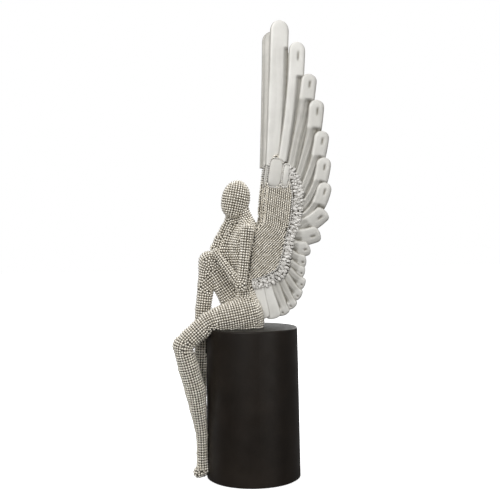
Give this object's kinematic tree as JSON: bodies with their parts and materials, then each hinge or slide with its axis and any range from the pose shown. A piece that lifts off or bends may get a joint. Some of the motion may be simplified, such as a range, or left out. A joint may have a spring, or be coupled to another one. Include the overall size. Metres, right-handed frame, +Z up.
{
  "type": "figure trophy",
  "caption": "Seated, faceless, bead-textured winged figure on a plain black cylinder base; a rigid cast table award with tall upswept silver feathers.",
  "frame": {"origin": "centre of the flat face that the trophy stands on", "axes": "+Z up, along the cylinder's axis; -Y the way the figure faces; +X the figure's left"},
  "size_m": [0.1106, 0.1848, 0.5338],
  "materials": {
    "beaded_silver": "cast resin, warm silver metallic coat on small round beads, dark antique wash in the recesses",
    "feather_silver": "cast resin, bright silver metallic coat, smooth",
    "crystal_silver": "cast resin, bright silver coat on small faceted tiles",
    "base_black": "cast resin, satin black lacquer",
    "bottom_board": "dark fibreboard",
    "felt": "black felt",
    "ballast_iron": "raw",
    "steel": "zinc plated"
  },
  "bodies": {
    "root": {"ballast_disc": "ballast_iron", "base_bottom_plate": "bottom_board", "base_cylinder": "base_black", "base_felt_pad": "felt", "bottom_plate_screws": "steel", "figure_tie_rod": "steel", "head": "beaded_silver", "hip_dowels": "steel", "left_arm": "beaded_silver", "left_covert_panels": "feather_silver", "left_crystal_trim": "crystal_silver", "left_leg": "beaded_silver", "left_lower_1_feather": "feather_silver", "left_lower_2_feather": "feather_silver", "left_lower_3_feather": "feather_silver", "left_lower_4_feather": "feather_silver", "left_lower_5_feather": "feather_silver", "left_lower_6_feather": "feather_silver", "left_primary_1_feather": "feather_silver", "left_primary_2_feather": "feather_silver", "left_primary_3_feather": "feather_silver", "left_primary_4_feather": "feather_silver", "left_primary_5_feather": "feather_silver", "left_primary_6_feather": "feather_silver", "left_primary_7_feather": "feather_silver", "left_secondary_1_feather": "feather_silver", "left_secondary_2_feather": "feather_silver", "left_secondary_3_feather": "feather_silver", "left_secondary_4_feather": "feather_silver", "left_secondary_5_feather": "feather_silver", "left_wing_arm": "beaded_silver", "neck_dowel": "steel", "right_arm": "beaded_silver", "right_covert_panels": "feather_silver", "right_crystal_trim": "crystal_silver", "right_leg": "beaded_silver", "right_lower_1_feather": "feather_silver", "right_lower_2_feather": "feather_silver", "right_lower_3_feather": "feather_silver", "right_lower_4_feather": "feather_silver", "right_lower_5_feather": "feather_silver", "right_lower_6_feather": "feather_silver", "right_primary_1_feather": "feather_silver", "right_primary_2_feather": "feather_silver", "right_primary_3_feather": "feather_silver", "right_primary_4_feather": "feather_silver", "right_primary_5_feather": "feather_silver", "right_primary_6_feather": "feather_silver", "right_primary_7_feather": "feather_silver", "right_secondary_1_feather": "feather_silver", "right_secondary_2_feather": "feather_silver", "right_secondary_3_feather": "feather_silver", "right_secondary_4_feather": "feather_silver", "right_secondary_5_feather": "feather_silver", "right_wing_arm": "beaded_silver", "shoulder_dowels": "steel", "tie_rod_nut": "steel", "tie_rod_washer": "steel", "torso": "beaded_silver", "wing_pins": "steel"}
  },
  "joints": []
}
